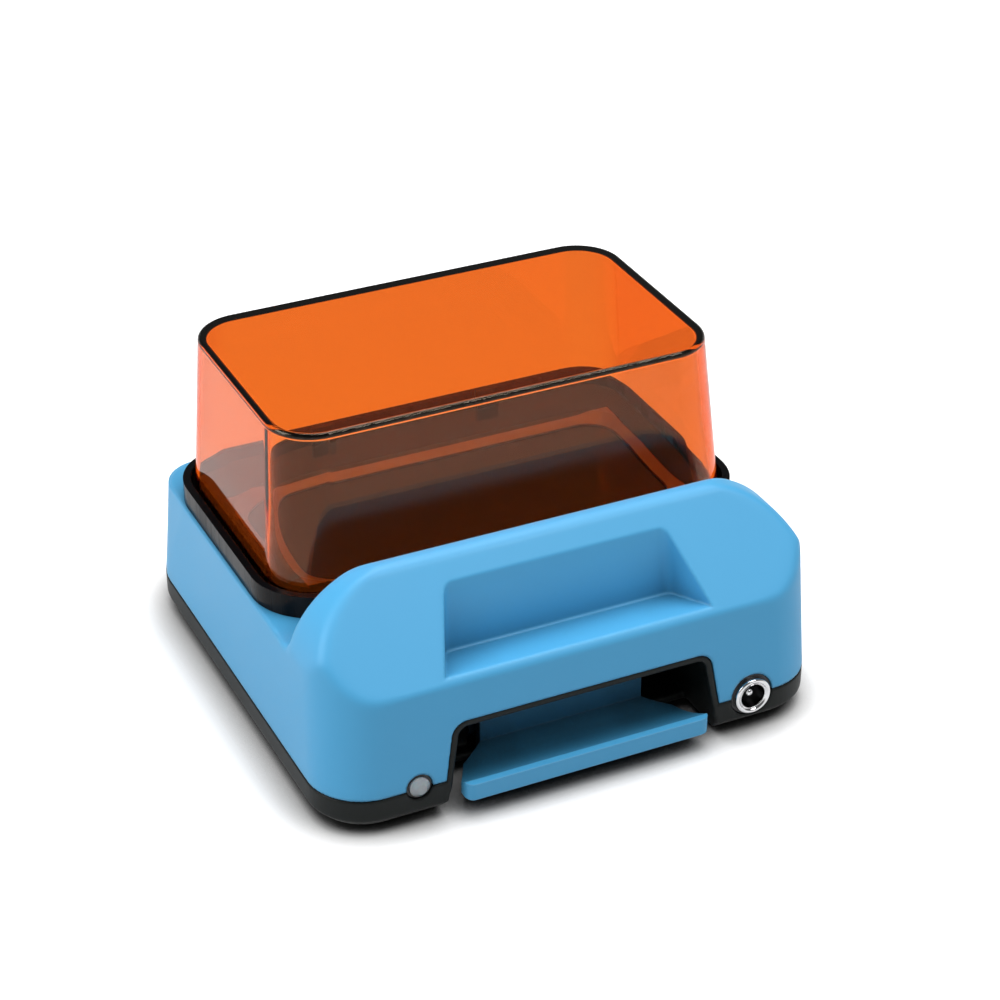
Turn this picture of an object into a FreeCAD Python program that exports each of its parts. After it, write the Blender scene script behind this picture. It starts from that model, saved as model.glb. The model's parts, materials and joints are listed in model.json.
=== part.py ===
import FreeCAD, Part
import Sketcher
import math
import os
import re
from FreeCAD import Placement, Rotation, Vector

os.makedirs("parts", exist_ok=True)
doc = FreeCAD.newDocument("blue_light_transilluminator")

# Driving sizes in millimetres and degrees. Heights are measured from the table, and places
# along the depth from the front face at the line where the two shells meet.
SIZES = {
    # Outline of the body at the split line and at the top of the moulding
    "body_width": 130.0, "body_depth": 132.0, "front_corner": 14.0, "rear_corner": 19.0,
    "split_height": 10.0, "split_gap": 0.3, "mould_top": 60.0, "side_lean": 1.7,
    "front_lean": 4.0, "rear_lean": 26.8, "shell_wall": 2.2,
    # Hood over the front of the viewing table
    "ridge_height": 35.0, "hood_angle": 50.0, "hood_back": 27.0, "crest_radius": 4.0,
    "shoulder_radius": 24.5, "shoulder_inset": 0.25, "shoulder_rise": 0.1, "deck_height": 38.8,
    "valley_radius": 1.5, "slope_round": 2.4,
    # Bare sunk panel in the slope of the hood
    "panel_back": 15.0, "panel_floor": 34.9, "panel_tilt": 7.3, "panel_lean": 5.8,
    "panel_inset": 35.6, "panel_flare": 24.0, "panel_corner": 2.6,
    # Finger slot in the front, with the arched liner that belongs to the base
    "slot_height": 24.8, "slot_inset": 31.4, "slot_spread": 3.7, "slot_corner": 4.2,
    "liner_wall": 1.4, "liner_gap": 0.15, "liner_step": 0.2, "bay_depth": 38.0,
    "bay_floor_start": 16.0,
    # Lower base
    "base_bottom": 1.7, "base_floor": 2.0, "base_edge": 2.6, "lip_height": 1.6,
    "lip_wall": 1.2, "lip_gap": 0.15,
    # Platform frame with the groove that seats the cover
    "frame_inset": 1.8, "frame_front": 34.2, "frame_back": 21.2, "frame_corner": 16.0,
    "skirt_depth": 1.2, "skirt_wall": 1.5, "frame_gap": 0.15, "rim_top": 44.6, "rim_wall": 1.9,
    "groove_floor": 40.6, "bezel_top": 43.0, "window_inset": 14.7, "window_front": 47.0,
    "window_back": 22.8, "window_corner": 8.0, "window_slope": 4.0, "window_drop": 1.6,
    "window_lip": 0.5, "hook_width": 6.0, "hook_reach": 1.2, "hook_tall": 1.5,
    "lug_width": 6.0, "lug_thick": 1.4, "lug_top": 46.6, "lug_place": 23.0,
    # Viewing glass, seal, diffuser and light box
    "glass_thick": 2.5, "glass_border": 2.2, "seal_thick": 1.0, "seal_band": 2.6,
    "diffuser_thick": 1.0, "light_wall": 1.5, "light_foot_inset": 2.5, "fit_gap": 0.3,
    "board_grow": 3.5, "board_lap": 3.0, "post_inset": 3.0, "post_top": 9.0, "post_half": 3.0,
    "spreader_thick": 2.0, "board_thick": 1.6, "led_columns": 6.0, "led_rows": 3.0,
    "led_margin": 1.2, "led_body": 3.5, "led_lens": 2.7, "led_tall": 1.6,
    # Amber cover
    "cover_top": 83.1, "cover_inset": 3.1, "cover_side_lean": 3.2, "cover_front_lean": 4.6,
    "cover_wall": 2.2, "cover_corner": 12.0, "cover_edge": 1.3, "cover_gap": 0.5,
    # Light lever, its pin, spring and switch
    "lip_out": 3.0, "lip_low": 4.4, "lip_top": 9.3, "lip_side_gap": 1.7, "neck_side_gap": 12.1,
    "neck_start": 1.0, "neck_flare": 6.4, "neck_bend": 8.6, "lip_corner": 2.2, "lip_edge": 0.6,
    "scoop_place": 6.5, "scoop_low": 6.6, "scoop_radius": 12.0, "upright_front": 13.0,
    "upright_thick": 2.2, "upright_top": 21.4, "pin_place": 22.0, "pin_height": 7.6,
    "pin_dia": 2.5, "pin_run": 0.05, "hub_radius": 3.0, "tail_end": 33.5, "tail_thick": 2.4,
    "tail_top": 9.4, "ear_thick": 3.0, "ear_gap": 0.4, "spring_x": -11.0, "spring_place": 29.0,
    "spring_radius": 2.6, "spring_wire": 0.5, "spring_turns": 4.0, "pillar_low": 16.5,
    "switch_x": 9.0, "switch_place": 30.0, "switch_half": 3.1, "switch_low": 12.2,
    "plunger_radius": 1.5, "plunger_depth": 1.6, "switch_travel": 0.9, "switch_play": 0.02,
    "switch_wire_height": 14.4, "wire_radius": 1.0,
    # Power socket and status light in the front face
    "jack_inset": 20.1, "jack_height": 10.0, "jack_ring": 9.6, "jack_bore": 6.4,
    "jack_hole": 11.2, "jack_depth": 12.0, "jack_block": 5.8, "jack_ring_end": 10.0,
    "tab_width": 2.4, "tab_length": 3.0, "tab_thick": 0.5, "jack_pin": 2.1, "jack_proud": 0.9,
    "light_inset": 22.3, "light_height": 10.6, "light_dia": 5.0, "light_hole": 6.6,
    "light_proud": 1.1, "light_tip": 2.6, "light_depth": 5.0, "light_block": 4.2,
    # Feet, bosses and fasteners
    "foot_dia": 10.0, "foot_inset": 14.0, "foot_front": 12.5, "foot_back": 16.0,
    "boss_dia": 8.0, "boss_inset": 9.5, "boss_front": 27.5, "boss_back": 29.0,
    "screw_dia": 3.0, "screw_head": 5.4, "screw_head_tall": 2.0, "screw_length": 14.0,
    "screw_seat": 4.0, "fit_run": 0.05, "fit_press": 0.01,
    # Power board behind the light engine, with its parts and cables
    "power_inset": 27.0, "power_back": 12.0, "power_deep": 21.5, "power_height": 7.0,
    "peg_inset": 4.0, "peg_half": 1.2, "peg_proud": 0.6,
    "plug_size": 6.0, "plug_tall": 6.0, "plug_flat": 3.0, "plug_back": 10.5,
    "capacitor_radius": 4.0, "capacitor_tall": 9.0, "capacitor_inset": 18.0,
    "capacitor_pitch": 10.0, "coil_inset": 20.0, "coil_half": 4.5, "coil_tall": 5.0,
    "chip_inset": 11.0, "chip_half": 3.0, "chip_tall": 2.0,
    "lane_gap": 5.0, "cable_straight": 4.0, "cable_drop": 14.0, "cable_stub": 2.2,
}

# Places that follow the outline of the body, each from one that is already known
FOLLOWING = {
    "shoulder_half": "body_width / 2 - shoulder_inset",
    "panel_half": "body_width / 2 - panel_inset",
    "slot_half_top": "body_width / 2 - slot_inset",
    "slot_half_foot": "slot_half_top + slot_spread",
    "frame_half": "body_width / 2 - frame_inset",
    "frame_rear": "body_depth - frame_back",
    "window_half": "frame_half - window_inset",
    "window_rear": "frame_rear - window_back",
    "board_half": "window_half + board_grow",
    "board_front": "window_front - board_lap",
    "board_rear": "window_rear + board_lap",
    "engine_post_x": "board_half - post_inset",
    "engine_post_front": "board_front + post_inset",
    "engine_post_rear": "board_rear - post_inset",
    "led_pitch": "window_half * 2 / led_columns - led_margin",
    "led_pitch_deep": "(window_rear - window_front) / led_rows - led_margin",
    "cover_half_low": "frame_half - cover_inset",
    "cover_half_top": "cover_half_low - cover_side_lean",
    "cover_front_low": "frame_front + cover_inset",
    "cover_front_top": "cover_front_low + cover_front_lean",
    "cover_rear": "frame_rear - cover_inset",
    "lip_half": "slot_half_top - lip_side_gap",
    "neck_half": "slot_half_top - neck_side_gap",
    "neck_wide": "neck_half + neck_flare",
    "jack_x": "body_width / 2 - jack_inset",
    "light_x": "light_inset - body_width / 2",
    "foot_x": "body_width / 2 - foot_inset",
    "foot_rear": "body_depth - foot_back",
    "boss_x": "body_width / 2 - boss_inset",
    "boss_rear": "body_depth - boss_back",
    "power_half": "body_width / 2 - power_inset",
    "power_rear": "body_depth - power_back",
    "power_front": "power_rear - power_deep",
    "power_post_x": "power_half - peg_inset",
    "power_post_front": "power_front + peg_inset",
    "power_post_rear": "power_rear - peg_inset",
    "side_plug_place": "power_rear - plug_back",
    "capacitor_x": "capacitor_inset - power_half",
    "coil_x": "power_half - coil_inset",
    "chip_x": "power_half - chip_inset",
    "cable_lane": "power_half + lane_gap",
}
NAMES = list(SIZES) + list(FOLLOWING)
sheet = doc.addObject("Spreadsheet::Sheet", "Sizes")
for row, alias in enumerate(NAMES, start=1):
    sheet.set("A%d" % row, alias)
    sheet.setAlias("B%d" % row, alias)
    sheet.set("B%d" % row, str(SIZES[alias]) if alias in SIZES else "=" + FOLLOWING[alias])
scratch = doc.addObject("Spreadsheet::Sheet", "Worked")
doc.recompute()

# Formulas that several pieces share, written with the names of the sizes
HALF_DEPTH = "(body_depth - lip_out) / 2"
SIDES = ("-1", "1")
ROWS = ("front", "rear")
FAR_FRONT = "(-front_corner)"
SHELL_LOW = "(split_height + split_gap / 2)"
BASE_TOP = "(split_height - split_gap / 2)"
MOULD_RISE = "(mould_top - split_height)"
REAR_CORNER = "(rear_corner * (1 + sqrt(1 + (rear_lean / %s)^2)) / 2)" % MOULD_RISE
RIDGE_PLACE = "(front_lean * (ridge_height - split_height) / %s)" % MOULD_RISE
CREST = ("(ridge_height + (hood_back - crest_radius - %s) * tan(hood_angle)"
         " - crest_radius / cos(hood_angle) + crest_radius)" % RIDGE_PLACE)
BASE_WALL = "(shell_wall + lip_gap + lip_wall)"
FLOOR_TOP = "(base_bottom + base_floor)"
LIP_RAKE = "(rear_lean * (lip_height + split_gap) / %s)" % MOULD_RISE
SLOT_SLOPE = "(slot_spread / (slot_height - base_bottom))"
GLASS_TOP = "(bezel_top - window_lip - window_drop)"
GLASS_LOW = "(%s - glass_thick)" % GLASS_TOP
SEAL_LOW = "(%s - seal_thick)" % GLASS_LOW
DIFFUSER_LOW = "(%s - diffuser_thick)" % SEAL_LOW
BOARD_LOW = "(post_top + spreader_thick)"
BOARD_TOP = "(%s + board_thick)" % BOARD_LOW
TILT = "tan(hood_angle)"
INNER_FRONT = "(%s + lip_gap)" % BASE_WALL
LINER_TOP = "(slot_height - liner_gap)"
ROOF_LOW = "(%s - liner_wall)" % LINER_TOP
BEZEL_INSET = "(cover_wall + cover_gap)"
SKIRT = "(glass_border + fit_gap + skirt_wall)"
DECK_LOW = "(deck_height - shell_wall)"
HOOK_LOW = "(%s - hook_tall)" % DECK_LOW
POWER_TOP = "(power_height + board_thick)"
JACK_REAR = "(%s + jack_depth)" % INNER_FRONT
LIGHT_REAR = "(%s + light_depth)" % INNER_FRONT
PLUG_INSIDE = "(power_half - plug_size)"
PLUG_MIDDLE = "(%s + plug_tall / 2)" % POWER_TOP
FLOOR_RUN = "(%s + wire_radius + fit_run)" % FLOOR_TOP


def named(text):
    """The formula with each size written as a cell of the sheet."""
    return re.sub(r"[a-z_]+", lambda m: "Sizes." + m.group(0) if m.group(0) in NAMES else m.group(0), text)


def value(text):
    """What a formula of the driving sizes comes to."""
    scratch.set("B1", "=" + named(text))
    scratch.recompute()
    return float(scratch.get("B1"))


def add_body(name):
    body = doc.addObject("PartDesign::Body", name)
    body.Label = name
    return body


def plane_of(body, role):
    for item in body.Origin.OriginFeatures:
        if item.Role == role:
            return item


def add_sketch(body, name, role, offset, loops):
    """A closed outline on an origin plane. Each corner is two formulas and maybe a radius.

    Places along the depth are given from the front face and moved to the body's middle.
    """
    sketch = body.newObject("Sketcher::SketchObject", name)
    sketch.AttachmentSupport = [(plane_of(body, role), "")]
    sketch.MapMode = "FlatFace"
    if role == "XZ_Plane":
        offset = "%s - (%s)" % (HALF_DEPTH, offset)
    sketch.AttachmentOffset = Placement(Vector(0, 0, value(offset)), Rotation())
    sketch.setExpression("AttachmentOffset.Base.z", named(offset))
    for corners in loops:
        add_loop(sketch, role, corners)
    return sketch


def add_loop(sketch, role, corners):
    fixed = []
    for corner in corners:
        across, along = corner[0], corner[1]
        if role == "XY_Plane":
            along = "%s - %s" % (along, HALF_DEPTH)
        if role == "YZ_Plane":
            across = "%s - %s" % (across, HALF_DEPTH)
        radius = corner[2] if len(corner) > 2 else None
        fixed.append((across, along, radius, Vector(value(across), value(along), 0)))
    count = len(fixed)
    spots = [corner[3] for corner in fixed]
    if sum(a.x * b.y - b.x * a.y for a, b in zip(spots, spots[1:] + spots[:1])) < 0:
        fixed.reverse()
    starts, ends, arcs = [], [], []
    for i in range(count):
        here = fixed[i][3]
        before = (here - fixed[i - 1][3]).normalize()
        after = (fixed[(i + 1) % count][3] - here).normalize()
        if fixed[i][2] is None:
            ends.append(here)
            starts.append(here)
            arcs.append(None)
            continue
        turn = before.x * after.y - before.y * after.x
        angle = math.acos(max(-1.0, min(1.0, before.dot(after))))
        radius = value(fixed[i][2])
        back = radius * math.tan(angle / 2)
        first, last = here - before * back, here + after * back
        side = Vector(-before.y, before.x, 0) * (1 if turn > 0 else -1)
        centre = first + side * radius
        begin = math.atan2(first.y - centre.y, first.x - centre.x)
        finish = math.atan2(last.y - centre.y, last.x - centre.x)
        circle = Part.Circle(centre, Vector(0, 0, 1), radius)
        if turn > 0:
            arcs.append((Part.ArcOfCircle(circle, begin, finish), 1, 2))
        else:
            arcs.append((Part.ArcOfCircle(circle, finish, begin), 2, 1))
        ends.append(first)
        starts.append(last)
    lines = []
    for i in range(count):
        lines.append(sketch.addGeometry(Part.LineSegment(starts[i], ends[(i + 1) % count]), False))
    for i in range(count):
        across, along, radius, here = fixed[i]
        before, after = lines[i - 1], lines[i]
        if radius is None:
            sketch.addConstraint(Sketcher.Constraint("Coincident", before, 2, after, 1))
            target = after
        else:
            arc, entry, leave = arcs[i]
            arc = sketch.addGeometry(arc, False)
            sketch.addConstraint(Sketcher.Constraint("Tangent", before, 2, arc, entry))
            sketch.addConstraint(Sketcher.Constraint("Tangent", arc, leave, after, 1))
            index = sketch.addConstraint(Sketcher.Constraint("Radius", arc, value(radius)))
            sketch.setExpression("Constraints[%d]" % index, named(radius))
            target = sketch.addGeometry(Part.Point(here), True)
            sketch.addConstraint(Sketcher.Constraint("PointOnObject", target, 1, before))
            sketch.addConstraint(Sketcher.Constraint("PointOnObject", target, 1, after))
        for kind, formula, amount in (("DistanceX", across, here.x), ("DistanceY", along, here.y)):
            index = sketch.addConstraint(Sketcher.Constraint(kind, -1, 1, target, 1, amount))
            sketch.setExpression("Constraints[%d]" % index, named(formula))


def circle_sketch(body, name, role, offset, across, along, diameter):
    """A round outline on an origin plane."""
    sketch = add_sketch(body, name, role, offset, [])
    if role == "XY_Plane":
        along = "%s - %s" % (along, HALF_DEPTH)
    if role == "YZ_Plane":
        across = "%s - %s" % (across, HALF_DEPTH)
    centre = Vector(value(across), value(along), 0)
    ring = sketch.addGeometry(Part.Circle(centre, Vector(0, 0, 1), value(diameter) / 2), False)
    for kind, formula, amount in (("DistanceX", across, centre.x), ("DistanceY", along, centre.y)):
        index = sketch.addConstraint(Sketcher.Constraint(kind, -1, 1, ring, 3, amount))
        sketch.setExpression("Constraints[%d]" % index, named(formula))
    index = sketch.addConstraint(Sketcher.Constraint("Diameter", ring, value(diameter)))
    sketch.setExpression("Constraints[%d]" % index, named(diameter))
    return sketch


def extrude(body, kind, name, sketch, length, flip=False, both=False):
    """A pad or a pocket of a sketch."""
    feature = body.newObject("PartDesign::" + kind, name)
    feature.Profile = sketch
    feature.Length = value(length)
    feature.setExpression("Length", named(length))
    feature.Reversed = flip
    if both:
        feature.SideType = "Symmetric"
    doc.recompute()
    return feature


def soften(body, kind, name, feature, size, wanted):
    """Round or bevel the edges of a feature whose middle point passes the test."""
    names = []
    for number, edge in enumerate(feature.Shape.Edges, start=1):
        middle = edge.valueAt((edge.FirstParameter + edge.LastParameter) / 2)
        if wanted(middle, edge):
            names.append("Edge%d" % number)
    result = body.newObject("PartDesign::" + kind, name)
    result.Base = (feature, names)
    give(result, "Radius" if kind == "Fillet" else "Size", size)
    doc.recompute()
    return result


def give(item, name, formula):
    """Set a property now and bind it to its formula."""
    setattr(item, name, value(formula))
    item.setExpression(name, named(formula))


def box_corners(half, front, rear, front_radius, rear_radius):
    """A rectangle with round corners, centred across the width."""
    return [("-(%s)" % half, front, front_radius), (half, front, front_radius),
            (half, rear, rear_radius), ("-(%s)" % half, rear, rear_radius)]


def fuse(name, pieces):
    """Several shapes made one."""
    result = doc.addObject("Part::MultiFuse", name + "_fuse")
    result.Shapes = pieces
    result.Refine = True
    doc.recompute()
    return result


def set_down(item, place, turn=Rotation()):
    """Put an object at a place given as formulas."""
    item.Placement = Placement(Vector(*point(place)), turn)
    for key, formula in zip("xyz", moved(place)):
        item.setExpression("Placement.Base." + key, named(formula))
    return item


ALONG_DEPTH = Rotation(Vector(1, 0, 0), -90)


def cylinder(name, radius, length, place, axis="Z"):
    """A round bar that starts at a place and runs along an axis."""
    item = doc.addObject("Part::Cylinder", name)
    give(item, "Radius", radius)
    give(item, "Height", length)
    turn = {"Z": Rotation(), "Y": ALONG_DEPTH, "X": Rotation(Vector(0, 1, 0), 90)}
    return set_down(item, place, turn[axis])


def prism(name, sides, radius, length, place):
    """An upright bar with flat sides."""
    item = doc.addObject("Part::Prism", name)
    item.Polygon = sides
    give(item, "Circumradius", radius)
    give(item, "Height", length)
    return set_down(item, place)


def block(name, low, high):
    """A box between two corners given as formulas."""
    item = doc.addObject("Part::Box", name)
    for prop, a, b in zip(("Length", "Width", "Height"), low, high):
        give(item, prop, "(%s) - (%s)" % (b, a))
    return set_down(item, low)


def moved(place):
    return (place[0], "%s - %s" % (place[1], HALF_DEPTH), place[2])


def point(place):
    return [value(formula) for formula in moved(place)]


nodes = {}


def keep(name, item):
    """Name an object as one piece of the product."""
    item.Label = name
    nodes[name] = item
    return item


def outline(inset, rear_inset=None):
    """The body's outline at the split line, set in by a distance, or by another at the rear."""
    return box_corners("body_width / 2 - %s" % inset, inset, "body_depth - %s" % (rear_inset or inset),
                       "front_corner - %s" % inset, REAR_CORNER + " - %s" % inset)


def slope_at(place, inset="0"):
    """Height of the hood's slope at a place along the depth, set in by a wall."""
    return "(ridge_height + (%s - %s) * %s - %s / cos(hood_angle))" % (place, RIDGE_PLACE, TILT, inset)


def leaning_box(name, low, top, foot, head, radii):
    """A block with leaning walls and round corners.

    Foot and head are its half width, front and rear, and the radii are of its front and rear corners.
    """
    body = add_body(name)
    side = [(foot[1], low), (foot[2], low), (head[2], top), (head[1], top)]
    sketch = add_sketch(body, name + "_side", "YZ_Plane", "0", [side])
    extrude(body, "Pad", name + "_block", sketch, "body_width", both=True)
    ends = []
    for sign in SIDES:
        ends.append([("%s * (%s)" % (sign, foot[0]), low), ("%s * (%s)" % (sign, head[0]), top),
                     ("%s * body_width" % sign, top), ("%s * body_width" % sign, low)])
    sketch = add_sketch(body, name + "_ends", "XZ_Plane", FAR_FRONT, ends)
    extrude(body, "Pocket", name + "_lean", sketch, "body_depth * 2")
    rise = value("(%s) - (%s)" % (top, low))
    for row, radius in zip(ROWS, radii):
        soften(body, "Fillet", name + "_corners_" + row, body.Tip, radius,
               lambda middle, edge: edge.BoundBox.ZLength > rise / 2 and (middle.y > 0) == (row == "rear"))
    return body


def hood_form(name, inset):
    """The outer form of the housing, or with an inset the hollow inside it."""
    foot = ("body_width / 2 - %s" % inset, inset, "body_depth - %s" % inset)
    head = ("body_width / 2 - side_lean - %s" % inset, "front_lean + %s" % inset,
            "body_depth - rear_lean - %s" % inset)
    body = leaning_box(name, SHELL_LOW, "mould_top", foot, head,
                       ("front_corner - %s" % inset, "rear_corner - %s" % inset))
    back = "(hood_back - %s)" % inset
    deck = "(deck_height - %s)" % inset
    profile = [(FAR_FRONT, slope_at(FAR_FRONT, inset)),
               (back, slope_at(back, inset), "crest_radius"),
               (back, deck, "valley_radius"), ("body_depth * 2", deck),
               ("body_depth * 2", "mould_top * 2"), (FAR_FRONT, "mould_top * 2")]
    cut = add_sketch(body, name + "_profile", "YZ_Plane", "0", [profile])
    extrude(body, "Pocket", name + "_slope", cut, "body_width * 2", both=True)
    crest = "(%s + shoulder_rise - %s)" % (CREST, inset)
    for side, word in zip(SIDES, ("_left", "_right")):
        edge = "%s * (shoulder_half - %s)" % (side, inset)
        far = "%s * body_width" % side
        foot = "(%s - shoulder_radius - valley_radius)" % crest
        corner = [(edge, foot), (edge, crest, "shoulder_radius - %s" % inset),
                  ("0", crest), ("0", "mould_top * 2"), (far, "mould_top * 2"), (far, foot)]
        cut = add_sketch(body, name + word + "_outline", "XZ_Plane", FAR_FRONT, [corner])
        extrude(body, "Pocket", name + word, cut, "front_corner + hood_back + valley_radius * 2")
    return body


def join(body, kind, name, tools):
    """Cut other bodies from a body, or add them to it."""
    feature = body.newObject("PartDesign::Boolean", name)
    feature.Type = kind
    feature.setObjects(tools)
    doc.recompute()
    return feature


def panel_form(name, inset):
    """The sunk panel's hollow. With an inset it is that hollow and the wall round it."""
    body = add_body(name)
    floor, back = "(panel_floor - %s)" % inset, "(panel_back + %s)" % inset
    top_back = "%s + (mould_top * 2 - %s) * tan(panel_lean)" % (back, floor)
    profile = [(FAR_FRONT, "%s + (panel_back + front_corner) * tan(panel_tilt)" % floor),
               (back, floor), (top_back, "mould_top * 2"), (FAR_FRONT, "mould_top * 2")]
    side = add_sketch(body, name + "_side", "YZ_Plane", "0", [profile])
    extrude(body, "Pad", name + "_pad", side, "body_width", both=True)
    half = "(panel_half + %s + (panel_back - %s) * tan(panel_flare))"
    ends = []
    for sign in SIDES:
        ends.append([("%s * %s" % (sign, half % (inset, FAR_FRONT)), FAR_FRONT),
                     ("%s * %s" % (sign, half % (inset, "(hood_back * 2)")), "hood_back * 2"),
                     ("%s * body_width" % sign, "hood_back * 2"), ("%s * body_width" % sign, FAR_FRONT)])
    plan = add_sketch(body, name + "_plan", "XY_Plane", "mould_top * 2", ends)
    extrude(body, "Pocket", name + "_ends", plan, "mould_top * 2")
    return body


def window_outline(grow):
    """The window's outline, let out by a distance."""
    return box_corners("window_half + %s" % grow, "window_front - %s" % grow, "window_rear + %s" % grow,
                       "window_corner + %s" % grow, "window_corner + %s" % grow)


def slot_outline(inset, low):
    """The finger slot in the front, set in by a distance."""
    foot = "(slot_half_top + (slot_height - %s) * %s - %s)" % (low, SLOT_SLOPE, inset)
    half, head = "(slot_half_top - %s)" % inset, "slot_height - %s" % inset
    return [("-%s" % foot, low), (foot, low), (half, head, "slot_corner - %s" % inset),
            ("-%s" % half, head, "slot_corner - %s" % inset)]


def rectangle(half_x, x, front, rear):
    """A plain rectangle centred on a place across the width."""
    left, right = "%s - (%s)" % (x, half_x), "%s + (%s)" % (x, half_x)
    return [(left, front), (right, front), (right, rear), (left, rear)]


def square(half, x, y):
    """A square about a place."""
    return rectangle(half, x, "%s - %s" % (y, half), "%s + %s" % (y, half))


def peg_holes(board):
    """The square holes with which a board sits on the pegs of the base."""
    return [square("(peg_half + fit_run)", "%s * %s_post_x" % (side, board), "%s_post_%s" % (board, row))
            for side in SIDES for row in ROWS]


def raise_from(body, name, low, top, loops):
    """Material pushed up between two heights."""
    sketch = add_sketch(body, name + "_outline", "XY_Plane", low, loops)
    return extrude(body, "Pad", name, sketch, "(%s) - (%s)" % (top, low))


def sink(body, name, low, top, loops):
    """A cut between two heights."""
    sketch = add_sketch(body, name + "_outline", "XY_Plane", top, loops)
    return extrude(body, "Pocket", name, sketch, "(%s) - (%s)" % (top, low))


def plate(name, low, top, loops):
    """A flat piece with one outline."""
    body = add_body(name)
    raise_from(body, name + "_sheet", low, top, loops)
    return keep(name, body)


def post(body, name, x, y, low, top, diameter):
    sketch = circle_sketch(body, name + "_circle", "XY_Plane", low, x, y, diameter)
    return extrude(body, "Pad", name, sketch, "(%s) - (%s)" % (top, low))


def bore(body, name, x, y, low, top, diameter):
    sketch = circle_sketch(body, name + "_circle", "XY_Plane", top, x, y, diameter)
    return extrude(body, "Pocket", name, sketch, "(%s) - (%s)" % (top, low))


def from_front(body, kind, name, start, end, x=None, height=None, diameter=None, loops=None):
    """Material or a cut that runs back from one depth to another."""
    if loops is None:
        sketch = circle_sketch(body, name + "_circle", "XZ_Plane", start, x, height, diameter)
    else:
        sketch = add_sketch(body, name + "_outline", "XZ_Plane", start, loops)
    return extrude(body, kind, name, sketch, "(%s) - (%s)" % (end, start), kind == "Pad")


def group(name, shape, places):
    """Equal pieces made from one, each set down at a place."""
    copies = []
    for place in places:
        one = shape.copy()
        one.translate(Vector(*[value(formula) for formula in place]))
        copies.append(one)
    item = doc.addObject("Part::Feature", name)
    item.Shape = Part.Compound(copies)
    return keep(name, item)


def six_sided(centre, along, radius):
    """A six-sided ring square to a direction."""
    across = along.cross(Vector(1, 0, 0))
    if across.Length < along.Length / 2:
        across = along.cross(Vector(0, 1, 0))
    across.normalize()
    corners = [centre + Rotation(along, 60 * step).multVec(across) * radius for step in range(7)]
    return Part.makePolygon(corners)


def cable(name, places):
    """A wire along straight runs with mitred bends."""
    spots = [Vector(*point(place)) for place in places]
    ring = six_sided(spots[0], spots[1] - spots[0], value("wire_radius"))
    item = doc.addObject("Part::Feature", name)
    item.Shape = Part.makePolygon(spots).makePipeShell([ring], True, False, 1)
    return keep(name, item)


def side_cable(name, side, x, start, height):
    """The wire from a fitting in the front face along the floor to its plug on the power board."""
    lane, plug = side + " * cable_lane", side + " * power_half"
    cable(name, [
        (x, start, height), (x, start + " + cable_straight", height),
        (lane, start + " + cable_drop", FLOOR_RUN), (lane, "board_rear - cable_straight", FLOOR_RUN),
        (lane, "side_plug_place - plug_size", PLUG_MIDDLE + " - plug_flat"),
        ("%s * (power_half + cable_straight)" % side, "side_plug_place", PLUG_MIDDLE),
        (plug, "side_plug_place", PLUG_MIDDLE)])


def on_slope(edge):
    """Whether an edge is part of the outline of the hood's slope, its top line left out."""
    ridge, place, tilt = value("ridge_height"), value(RIDGE_PLACE + " - " + HALF_DEPTH), value(TILT)
    for share in (0.0, 0.3, 0.7, 1.0):
        spot = edge.valueAt(edge.FirstParameter + share * (edge.LastParameter - edge.FirstParameter))
        if abs(spot.z - ridge - (spot.y - place) * tilt) > 0.001:
            return False
    return edge.BoundBox.ZLength > 0.01 or edge.BoundBox.ZMax < ridge + value("crest_radius")


# Upper housing: a hooded shell with a sunk panel, a finger slot and a flat deck
shell = hood_form("upper_housing", "0")
soften(shell, "Fillet", "slope_rounding", shell.Tip, "slope_round", lambda middle, edge: on_slope(edge))
hollow = hood_form("housing_hollow", "shell_wall")
join(hollow, "Cut", "hollow_round_panel", [panel_form("panel_wall", "shell_wall")])
recess = panel_form("panel_recess", "0")
soften(recess, "Fillet", "panel_corners", recess.Tip, "panel_corner",
       lambda middle, edge: edge.BoundBox.ZLength > value("mould_top")
       and abs(middle.y - value("panel_back - %s" % HALF_DEPTH)) < value("hood_back / 2"))
join(shell, "Cut", "shell_hollow", [hollow])
join(shell, "Cut", "sunk_panel", [recess])
from_front(shell, "Pocket", "finger_slot", FAR_FRONT, "shell_wall * 3",
           loops=[slot_outline("0", "(split_height - slot_corner)")])
from_front(shell, "Pocket", "jack_opening", FAR_FRONT, "shell_wall * 3", "jack_x", "jack_height",
           "jack_hole")
from_front(shell, "Pocket", "light_opening", FAR_FRONT, "shell_wall * 3", "light_x", "light_height",
           "light_hole")
sink(shell, "deck_opening", "deck_height - shell_wall * 2", "deck_height + shell_wall",
     [window_outline("(%s + frame_gap)" % SKIRT)])
for side in SIDES:
    for row in ROWS:
        tag = ("left_" if side == "-1" else "right_") + row
        post(shell, "boss_" + tag, side + " * boss_x", "boss_" + row, BASE_TOP,
             "deck_height - shell_wall / 2", "boss_dia")
        bore(shell, "boss_hole_" + tag, side + " * boss_x", "boss_" + row, "split_height - shell_wall",
             "split_height + screw_length / 2", "screw_dia + fit_run * 2")
keep("upper_housing", shell)

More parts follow.
